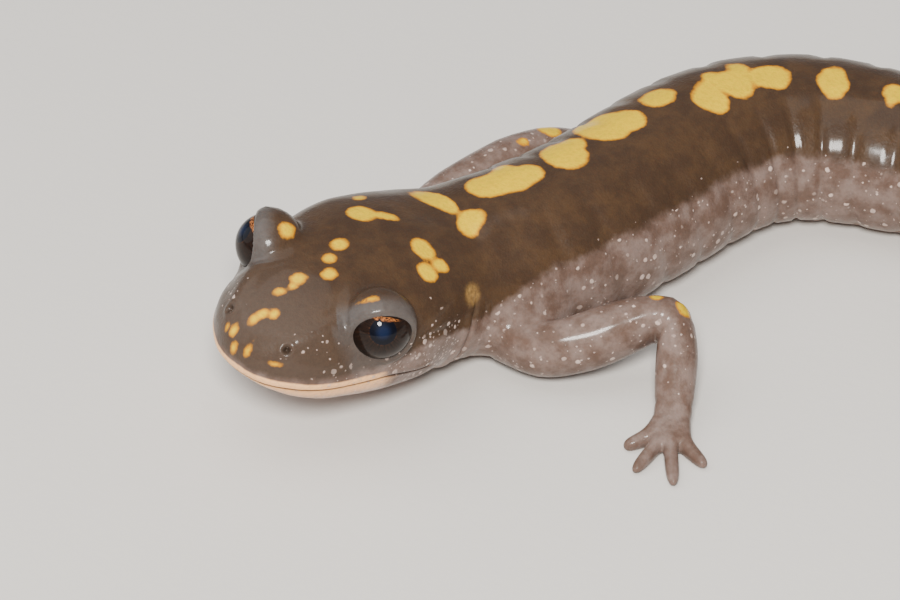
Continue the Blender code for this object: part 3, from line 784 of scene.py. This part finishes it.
BACK_MARKS = (
    (16.6, -1.25, 1.9, 1.1, 57),
    (17.75, 1.5, 1.75, 1.05, -12),
    (20.9, -1.2, 1.4, 1.35, 0),
    (22.5, -1.15, 1.9, 1.6, 0),
    (22.9, -2.5, 0.75, 0.8, 0),
    (24.0, -0.9, 1.1, 1.15, 0),
    (27.3, -1.3, 1.55, 1.8, 10),
    (28.6, -1.9, 0.9, 1.0, 0),
    (31.6, -1.9, 1.9, 2.0, -10),
    (33.0, -1.2, 1.2, 1.4, 0),
    (36.2, -1.5, 1.3, 1.1, 0),
)
FAINT_MARK = (5.9, 14.3, 2.3)  # left, back and up of the snout
FAINT_RADIUS = 0.7
LIMB_MARKS = {  # from the elbow or knee: away from the body, down the limb, up, radius
    "front": ((0.6, 0.9, 1.3, 0.88), (-1.5, 0.3, 1.65, 0.45)),
    "hind": ((0.6, 0.5, 1.6, 0.95), (-4.6, 0.0, 2.0, 0.8), (-2.4, 0.3, 2.1, 0.4)),
}
CHAIN_FROM = 38.6  # behind this the blotches follow the middle of the back to the tail's tip
NO_MARK = 9.0


def blotch(first, second, mark):
    """Millimetres outside an oval blotch, less than 0 inside it."""
    first_place, second_place, first_half, second_half, turn = mark
    a, b = first - first_place, second - second_place
    c, h = cos(radians(turn)), sin(radians(turn))
    shape = np.hypot((a * c + b * h) / first_half, (b * c - a * h) / second_half)
    return (shape - 1.0) * min(first_half, second_half)


def join(first, second, softness=0.35):
    """Unites two blotches with a soft bridge where they touch."""
    h = np.clip(0.5 + 0.5 * (second - first) / softness, 0.0, 1.0)
    return second * (1 - h) + first * h - softness * h * (1 - h)


chance = random.Random(11)
chain = list(BACK_MARKS)
s = CHAIN_FROM
while s < LENGTH - 8.0:
    half = profile(s, 1)
    long_half = chance.uniform(0.75, 1.7) * (0.65 + 0.06 * half)
    wide = chance.uniform(0.17, 0.27) * half
    lean = chance.uniform(-0.16, 0.16) * half
    chain.append((s, lean, long_half, wide, chance.uniform(-20, 20)))
    for _ in range(chance.choice((1, 2, 2))):
        shift = chance.uniform(-0.8, 0.9) * long_half
        beside = lean + chance.choice((-1, 1)) * wide * chance.uniform(0.6, 1.0)
        chain.append((s + shift, beside, long_half * 0.5, wide * chance.uniform(0.5, 0.8), 0))
    s += long_half * 2 + chance.choice((0.0, 0.5, 1.3, 1.8))


def yellow_distance(surface, uneven):
    """Millimetres from each point of the skin to the edge of the nearest yellow mark."""
    place, _ = in_head(surface.points)
    along, side_share, rise, limb, *_ = surface.values.T
    half = np.interp(along, *np.array(BODY_PROFILE)[:, :2].T)
    across = side_share * half
    yellow = np.full(len(surface.points), NO_MARK)
    on_back = (rise > 0) & (limb <= 0) & (along > 14.5)
    for mark in chain:
        found = np.where(on_back, blotch(along, across, mark) + 0.09 * uneven, NO_MARK)
        yellow = join(yellow, found)
    on_crown = (place[:, 2] > 1.0) & (limb <= 0) & (along < 16)
    for mark in HEAD_MARKS:
        found = blotch(place[:, 1], place[:, 0], mark) + 0.05 * uneven
        yellow = join(yellow, np.where(on_crown, found, NO_MARK), 0.2)
    for mark in SNOUT_MARKS:
        found = blotch(place[:, 0], place[:, 2], mark)
        yellow = np.minimum(yellow, np.where(place[:, 1] < 1.2, found, NO_MARK))
    for name, (elbow, upper, lower) in elbows.items():
        for out, down, lift, radius in LIMB_MARKS[name.split("_")[0]]:
            centre = elbow + upper * out + lower * down + (0, 0, lift)
            found = away_from(surface.points, centre) - radius + 0.1 * uneven
            yellow = np.where(limb > 0, np.minimum(yellow, found), yellow)
    fleck = blotch(place[:, 0], place[:, 2], LIP_FLECK) * FLECK_SOFT + FLECK_FAINT
    return np.where(place[:, 1] < 2.0, np.minimum(yellow, fleck), yellow)


yellow = yellow_distance(surface, np.zeros(len(surface.points)))
at_edge = surface.per_face(np.abs(yellow), np.min) < 0.15
corners = np.array([face[:3:2] for face in surface.faces])
across_face = away_from(surface.points[corners[:, 0]], surface.points[corners[:, 1]])
surface.split_finer(at_edge & (across_face > 0.28))

place, mirrored = in_head(surface.points)
along, side_share, rise, limb, lid_share, rim_share = surface.values.T
trunk_only, head_only, behind_head = shares(along, limb)
uneven = unevenness(surface.points, 1.1, 5.2)
yellow = yellow_distance(surface, uneven)

head_rise = place[:, 2] / 4.6
height_share = np.where(along < 14, head_rise, np.where(limb > 0, rise * 0.6, rise))
BORDER_AT = (0, 6, 10, 14.8, 22, 27, 40, 66, 80, LENGTH)
BORDER_HEIGHT = (0.03, 0.1, 0.22, 0.08, 0.5, 0.55, 0.5, 0.45, 0.35, 0.3)
border = np.where(limb > 0, 0.75, np.interp(along, BORDER_AT, BORDER_HEIGHT))
pale_side = eased(height_share, border + 0.16, border - 0.16)
belly = eased(height_share, -0.35, -0.75)
mouth_offset = place[:, 2] - mouth_level(place[:, 1])
jaw_end = 5.2 + 0.8 * uneven - 0.5 * mouth_offset
peach = eased(mouth_offset, 0.8, 0.5) * eased(place[:, 1], jaw_end + 3.5, jaw_end)
under_jaw = eased(place[:, 2], -2.2, -4.2)
throat = head_only * np.maximum(peach, under_jaw)
snout_share = np.where(limb > 0, 0.0, eased(place[:, 1], 7.5, 1.0))
cheek_away = away_from(mirrored, (6.2, 9.2, 0.3), (1.6, 3.6, 1.7))
# From nostril to eye the flecks are partly real and partly painted glints of wet skin.
lore_away = segment_distance(mirrored, (2.6, 1.6, 1.9), (4.0, 4.4, 2.2))
below_eye = eased(place[:, 2], 2.4, 0.9) * eased(place[:, 1], 1.2, 3.0)
speckled = 1.1 * ridge(cheek_away, 1.0) + 0.55 * below_eye + 0.5 * ridge(lore_away, 0.6)
speckled = head_only * speckled + 0.34 * pale_side * behind_head
speckled += 0.3 * (limb > 0) * eased(limb, 0.85, 0.6)
speckled = (speckled * (1.0 - 0.8 * rim_share)).clip(0.0, 1.0)
mouth_share = eased(place[:, 1], 11.0, 10.0) * head_only
nostril_away = away_from(mirrored, NOSTRIL)
# Painted shade: the mouth's crease and the nostrils, where the skin sinks in, are darkened.
crease_shade_share = mouth_share * ridge(mouth_offset, 0.11) + head_only * ridge(nostril_away, 0.22)
faint_away = away_from(place, FAINT_MARK)

skin_mesh = surface.mesh("skin")
skin_mesh.transform(Matrix.Scale(MM, 4))
skin_mesh.shade_smooth()
for name, column in (
    ("yellow", yellow),
    ("pale_side", pale_side),
    ("belly", belly),
    ("throat", throat),
    ("chin", eased(mouth_offset, -0.2, -1.3)),
    ("snout", snout_share),
    ("faint_mark", eased(faint_away, FAINT_RADIUS + 0.2, FAINT_RADIUS - 0.3)),
    ("speckled", speckled),
    ("eyelid", lid_share),
    ("crease", crease_shade_share.clip(0.0, 1.0)),
):
    layer = skin_mesh.attributes.new(name, "FLOAT", "POINT")
    layer.data.foreach_set("value", np.asarray(column, np.float32))
skin = into_scene("skin", skin_mesh)


class Paint:
    """Builds one material's nodes."""

    def __init__(self, name):
        self.material = bpy.data.materials.new(name)
        self.material.use_nodes = True
        self.tree = self.material.node_tree
        self.shader = self.tree.nodes["Principled BSDF"]

    def fill(self, node, given):
        """Puts links or constants on the node's inputs, which are given by name or number."""
        for name, value in given.items():
            if isinstance(value, bpy.types.NodeSocket):
                self.tree.links.new(value, node.inputs[name])
            else:
                node.inputs[name].default_value = value

    def node(self, kind, given=None, **settings):
        made = self.tree.nodes.new("ShaderNode" + kind)
        for name, value in settings.items():
            setattr(made, name, value)
        self.fill(made, given or {})
        return made

    def on_mesh(self, name, output="Fac"):
        """What the mesh carries under this name."""
        return self.node("Attribute", attribute_name=name).outputs[output]

    def vector(self, operation, *values):
        return self.node("VectorMath", dict(enumerate(values)), operation=operation).outputs[0]

    def sum(self, operation, *values):
        return self.node("Math", dict(enumerate(values)), operation=operation).outputs[0]

    def times(self, first, second):
        return self.sum("MULTIPLY", first, second)

    def place_mm(self):
        return self.vector("MULTIPLY", self.node("TexCoord").outputs["Object"], (1.0 / MM,) * 3)

    def noise(self, vector, grain, detail=2.0, roughness=0.5, output="Fac"):
        given = {"Vector": vector, "Scale": 1.0 / grain, "Detail": detail, "Roughness": roughness}
        return self.node("TexNoise", given).outputs[output]

    def cells(self, vector, grain):
        return self.node("TexVoronoi", {"Vector": vector, "Scale": 1.0 / grain}).outputs

    def span(self, value, low, high, to_low=0.0, to_high=1.0):
        """Maps low..high to to_low..to_high, smoothly and clamped."""
        names = ("Value", "From Min", "From Max", "To Min", "To Max")
        given = dict(zip(names, (value, low, high, to_low, to_high)))
        return self.node("MapRange", given, interpolation_type="SMOOTHSTEP").outputs["Result"]

    def blend(self, share, first, second):
        return self.node("Mix", {0: share, 6: first, 7: second}, data_type="RGBA").outputs[2]

    def bump(self, height, depth_mm, under=None):
        given = {"Height": height, "Distance": depth_mm * MM}
        return self.node("Bump", given | ({"Normal": under} if under else {})).outputs["Normal"]


BROWN = (0.064, 0.035, 0.0172, 1.0)
BROWN_DARK = (0.044, 0.0245, 0.014, 1.0)
SNOUT_GREY = (0.066, 0.043, 0.030, 1.0)
SIDE_GREY = (0.19, 0.134, 0.114, 1.0)
SIDE_DUSK = (0.11, 0.067, 0.05, 1.0)
BELLY_GREY = (0.26, 0.18, 0.145, 1.0)
LID_GREY = (0.092, 0.083, 0.079, 1.0)
YELLOW = (0.69, 0.45, 0.0005, 1.0)
YELLOW_EDGE = (0.5, 0.2, 0.002, 1.0)
OCHRE = (0.42, 0.24, 0.07, 1.0)
FLECK = (0.58, 0.44, 0.38, 1.0)
PEACH = (0.95, 0.52, 0.24, 1.0)
THROAT_DUSK = (0.20, 0.135, 0.118, 1.0)
THROAT_PINK = (0.5, 0.35, 0.28, 1.0)
CREASE_SHADE = (0.012, 0.007, 0.006, 1.0)
GRAIN_DARK = (0.02, 0.014, 0.012, 1.0)

paint = Paint("moist_skin")
room = paint.place_mm()
mottle = paint.noise(room, 1.6, 4.0, 0.6)
grainy = paint.noise(room, 0.28, 3.0, 0.6)
ragged = paint.sum("MULTIPLY_ADD", paint.noise(room, 0.9, 3.0, 0.6), 0.7, -0.35)

colour = paint.blend(paint.span(mottle, 0.35, 0.7), BROWN_DARK, BROWN)
colour = paint.blend(paint.on_mesh("snout"), colour, SNOUT_GREY)
side_now = paint.span(paint.sum("ADD", paint.on_mesh("pale_side"), ragged), 0.25, 0.85)
side_colour = paint.blend(paint.span(mottle, 0.35, 0.65), SIDE_DUSK, SIDE_GREY)
colour = paint.blend(side_now, colour, side_colour)
colour = paint.blend(paint.times(paint.on_mesh("belly"), 0.85), colour, BELLY_GREY)
colour = paint.blend(paint.times(paint.on_mesh("eyelid"), 0.75), colour, LID_GREY)

chin = paint.on_mesh("chin")
throat_now = paint.sum("MULTIPLY_ADD", ragged, 0.9, paint.on_mesh("throat"))
throat_colour = paint.blend(chin, PEACH, THROAT_PINK)
dusky = paint.span(paint.noise(room, 0.7, 4.0, 0.65), 0.45, 0.75, 0.0, 0.55)
throat_colour = paint.blend(paint.times(dusky, chin), throat_colour, THROAT_DUSK)
colour = paint.blend(paint.span(throat_now, 0.15, 0.85), colour, throat_colour)

# Pale flecks: small grains of guanine, thicker on the cheeks than on the sides. Along the line
# from nostril to eye they also stand in for glints of wet skin, as painted highlights.
bent = paint.noise(room, 0.3125, output="Color")
warped = paint.vector("MULTIPLY_ADD", bent, (0.16, 0.16, 0.16), room)
flecks = 0.0
for grain, smallest, largest in ((0.58, 0.10, 0.27), (0.31, 0.08, 0.2)):
    cells = paint.cells(warped, grain)
    odds = paint.node("SeparateColor", {0: cells["Color"]}).outputs
    size = paint.span(odds[1], 0.0, 1.0, smallest, largest)
    dot = paint.span(cells["Distance"], paint.sum("ADD", size, 0.12), size)
    shown = paint.sum("LESS_THAN", odds[0], paint.on_mesh("speckled"))
    strength = paint.span(odds[2], 0.0, 1.0, 0.35, 0.9)
    flecks = paint.sum("MAXIMUM", flecks, paint.times(paint.times(dot, shown), strength))
colour = paint.blend(flecks, colour, FLECK)

faded = paint.span(paint.noise(room, 0.35, 3.0, 0.6), 0.3, 0.7, 0.25, 0.7)
colour = paint.blend(paint.times(faded, paint.on_mesh("faint_mark")), colour, OCHRE)
edge = paint.sum("MULTIPLY_ADD", paint.noise(room, 0.55, 3.0, 0.55), 0.30, -0.15)
spot = paint.sum("ADD", paint.on_mesh("yellow"), edge)
yellow_share = paint.span(spot, 0.06, -0.10)
yellow_colour = paint.blend(paint.span(spot, -0.03, -0.28), YELLOW_EDGE, YELLOW)
colour = paint.blend(yellow_share, colour, yellow_colour)
# Painted shade darkens the mouth's crease and the nostrils.
colour = paint.blend(paint.on_mesh("crease"), colour, CREASE_SHADE)
colour = paint.blend(paint.span(grainy, 0.35, 0.75, 0.0, 0.18), colour, GRAIN_DARK)

normal = paint.bump(paint.cells(room, 0.17)["Distance"], 0.013)
normal = paint.bump(paint.noise(room, 0.5, 4.0, 0.65), 0.045, normal)
look = {
    "Base Color": colour,
    "Normal": paint.bump(flecks, 0.05, normal),
    "Roughness": paint.span(paint.noise(room, 2.4, 3.0, 0.6), 0.3, 0.7, 0.36, 0.50),
    "Specular IOR Level": 0.08,
    "Coat Weight": 0.5,
    "Coat Roughness": 0.12,
    "Coat IOR": 1.33,
    "Subsurface Weight": 0.12,
    "Subsurface Radius": (1.0, 0.45, 0.3),
    "Subsurface Scale": 0.6 * MM,
}
paint.fill(paint.shader, look)
skin_mesh.materials.append(paint.material)
flesh = [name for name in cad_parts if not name.startswith("eye_")]
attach(skin, "root")
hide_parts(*flesh)

# --------------------------------------
# Eyes. Each is a ball with a slightly steeper cornea in front, wet and clear over a dark brown
# iris flecked with copper above the round pupil, black with a painted blue reflection that is
# brightest in its middle. It sits loose in its lids.

BALL_RADIUS = 2.05
CORNEA_RISE = 0.10
CORNEA_SPAN = 42.0  # degrees from the pupil's middle
PUPIL_EDGE = 23.0
COPPER_ABOVE = 21.5  # degrees from the pupil's middle up to the copper streak's
COPPER_HALF_LONG = 34.0
COPPER_HALF_THICK = 5.0
EYE_ROUND = 96
EYE_ROWS = 60

IRIS_DARK_AND_SHADE = (0.006, 0.003, 0.002, 1.0)
IRIS_BROWN = (0.016, 0.007, 0.004, 1.0)
COPPER = (0.50, 0.17, 0.045, 1.0)
PUPIL_EDGE_REFLECTED_BLUE = (0.0008, 0.0014, 0.005, 1.0)
PUPIL_REFLECTED_BLUE = (0.004, 0.009, 0.030, 1.0)


def eye_ball(name, side):
    look, length, height = eye_axes(side, PUPIL_LOOK)
    centre = eye_place(side)
    bm = bmesh.new()
    place_layer = bm.verts.layers.float_vector.new("iris_place")
    rows = []
    for i in range(EYE_ROWS + 1):
        angle = radians(180.0) * (i / EYE_ROWS) ** 1.3
        radius = BALL_RADIUS + CORNEA_RISE * ridge(angle, radians(CORNEA_SPAN))
        row = []
        for k in range(EYE_ROUND if 0 < i < EYE_ROWS else 1):
            turn = tau * k / EYE_ROUND
            spoke = length * cos(turn) + height * sin(turn)
            point = centre + (look * cos(angle) + spoke * sin(angle)) * radius
            vertex = bm.verts.new(point * MM)
            vertex[place_layer] = (cos(turn), sin(turn), angle)
            row.append(vertex)
        rows.append(row)
    for row, after in zip(rows, rows[1:]):
        for k in range(EYE_ROUND):
            n = (k + 1) % EYE_ROUND
            around = ((row, k), (after, k), (after, n), (row, n))
            corners = [line[j % len(line)] for line, j in around]
            bm.faces.new(list(dict.fromkeys(corners)))
    bmesh.ops.recalc_face_normals(bm, faces=bm.faces)
    mesh = mesh_of(bm, name)
    mesh.shade_smooth()
    return into_scene(name, mesh)


paint = Paint("wet_eye")
place_on_eye = paint.on_mesh("iris_place", "Vector")
level_turn, high_turn, from_pupil = paint.node("SeparateXYZ", {0: place_on_eye}).outputs
fibres = paint.noise(paint.vector("MULTIPLY", place_on_eye, (6.0, 6.0, 1.6)), 0.5, 4.0, 0.65)
iris = paint.blend(paint.span(fibres, 0.35, 0.7), IRIS_DARK_AND_SHADE, IRIS_BROWN)
# Painted shade: away from the pupil the iris darkens towards the lids that shade it.
iris = paint.blend(paint.span(from_pupil, radians(38), radians(75)), iris, IRIS_DARK_AND_SHADE)
glitter = paint.span(fibres, 0.46, 0.62)
thin_ring = paint.times(paint.span(from_pupil, radians(26), radians(24)), glitter)
iris = paint.blend(paint.times(thin_ring, 0.04), iris, COPPER)
# Painted reflection: the black pupil is tinged with blue, most strongly in its middle.
pupil = paint.blend(paint.span(from_pupil, radians(4), radians(17)), PUPIL_REFLECTED_BLUE, PUPIL_EDGE_REFLECTED_BLUE)
outside = paint.span(from_pupil, radians(PUPIL_EDGE - 0.8), radians(PUPIL_EDGE + 0.8))
eye_colour = paint.blend(outside, pupil, iris)
# A short level streak of copper crosses the top of the pupil's edge and thins to its ends.
beside, above = paint.times(level_turn, from_pupil), paint.times(high_turn, from_pupil)
to_end = paint.sum("DIVIDE", beside, radians(COPPER_HALF_LONG))
taper = paint.sum("SUBTRACT", 1.0, paint.times(to_end, to_end))
off_streak = paint.sum("ABSOLUTE", paint.sum("SUBTRACT", above, radians(COPPER_ABOVE)))
off_streak = paint.sum("DIVIDE", off_streak, radians(COPPER_HALF_THICK))
streak = paint.span(paint.sum("SUBTRACT", taper, off_streak), 0.0, 0.5)
flakes = paint.node("CombineXYZ", {0: paint.times(beside, 5.0), 1: paint.times(above, 22.0)})
flaky = paint.span(paint.noise(flakes.outputs[0], 0.5, 3.0, 0.6), 0.42, 0.62, 0.0, 0.9)
look = {
    "Base Color": paint.blend(paint.times(streak, flaky), eye_colour, COPPER),
    "Normal": paint.bump(fibres, 0.01),
    "Roughness": 0.5,
    "Specular IOR Level": 0.05,
    "Coat Weight": 0.6,
    "Coat Roughness": 0.015,
    "Coat IOR": 1.34,
}
paint.fill(paint.shader, look)
for name, side in (("eye_left_ball", 1), ("eye_right_ball", -1)):
    ball = eye_ball(name, side)
    ball.data.materials.append(paint.material)
    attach(ball, "root")
    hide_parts("eye_left" if side > 0 else "eye_right")

# --------------------------------------
# Studio. A wide pale floor, a small soft light near the lens, a broad one above and a weaker
# one to the left, and the camera, close to the head and looking down on it from the front left.

FLOOR_HALF = 3.0
FLOOR_DUSK = (0.60, 0.575, 0.545, 1.0)
FLOOR_PALE = (0.66, 0.635, 0.60, 1.0)
SENSOR_WIDTH = 36.0
VIEW_AZIMUTH = 43.0
VIEW_ELEVATION = 38.0
VIEW_DISTANCE = 325.0  # from the lips' level at the snout
VIEW_WIDTH = 54.55  # seen at that distance
AIM_RIGHT = 12.67  # from the snout to the middle of the view
AIM_UP = 3.64

bm = bmesh.new()
bmesh.ops.create_grid(bm, x_segments=24, y_segments=24, size=FLOOR_HALF)
floor = into_scene("studio_floor", mesh_of(bm, "studio_floor"))
paint = Paint("pale_floor")
room = paint.place_mm()
look = {
    "Base Color": paint.blend(paint.noise(room, 60.0, 3.0, 0.5), FLOOR_DUSK, FLOOR_PALE),
    "Normal": paint.bump(paint.noise(room, 0.8, 3.0, 0.6), 0.02),
    "Roughness": 0.7,
}
paint.fill(paint.shader, look)
floor.data.materials.append(paint.material)

azimuth, elevation = radians(VIEW_AZIMUTH), radians(VIEW_ELEVATION)
view_back = Vector((sin(azimuth) * cos(elevation), -cos(azimuth) * cos(elevation), sin(elevation)))
view_right = Vector((cos(azimuth), sin(azimuth), 0))
view_up = view_back.cross(view_right)
anchor = Vector((*SNOUT, LIP_HEIGHT)) * MM
eye_point = anchor + view_back * (VIEW_DISTANCE * MM)
middle = anchor + (view_right * AIM_RIGHT + view_up * AIM_UP) * MM
aim = (middle - eye_point).normalized()
upright = Matrix((view_right, view_up, view_back)).transposed().to_quaternion()
camera_data = bpy.data.cameras.new("camera")
camera_data.sensor_width = SENSOR_WIDTH
camera_data.lens = SENSOR_WIDTH * VIEW_DISTANCE / VIEW_WIDTH
camera_data.clip_start = 0.01
camera_data.clip_end = 20.0
camera = into_scene("camera", camera_data)
camera.rotation_mode = "QUATERNION"
camera.location = eye_point
camera.rotation_quaternion = (-view_back).rotation_difference(aim) @ upright
bpy.context.scene.camera = camera


def soft_box(name, right, up, back, size, power, colour):
    """A round light that looks at the head from these distances, as the camera sees them."""
    data = bpy.data.lights.new(name, "AREA")
    data.shape = "DISK"
    data.size = size
    data.energy = power
    data.color = colour
    lamp = into_scene(name, data)
    target = anchor + view_right * 0.012
    lamp.location = target + view_right * right + view_up * up + view_back * back
    lamp.rotation_mode = "QUATERNION"
    lamp.rotation_quaternion = (target - lamp.location).to_track_quat("-Z", "Y")


soft_box("near_box", -0.03, 0.07, 0.45, 0.12, 4.2, (1.0, 0.97, 0.92))
soft_box("key_box", -0.15, 0.55, 0.30, 0.70, 2.2, (1.0, 0.97, 0.93))
soft_box("fill_box", -0.55, 0.30, 0.10, 0.60, 1.0, (0.96, 0.98, 1.0))
world = bpy.data.worlds.new("studio_air")
world.use_nodes = True
background = world.node_tree.nodes["Background"].inputs
background["Color"].default_value = (0.92, 0.94, 1.0, 1.0)
background["Strength"].default_value = 0.35
bpy.context.scene.world = world
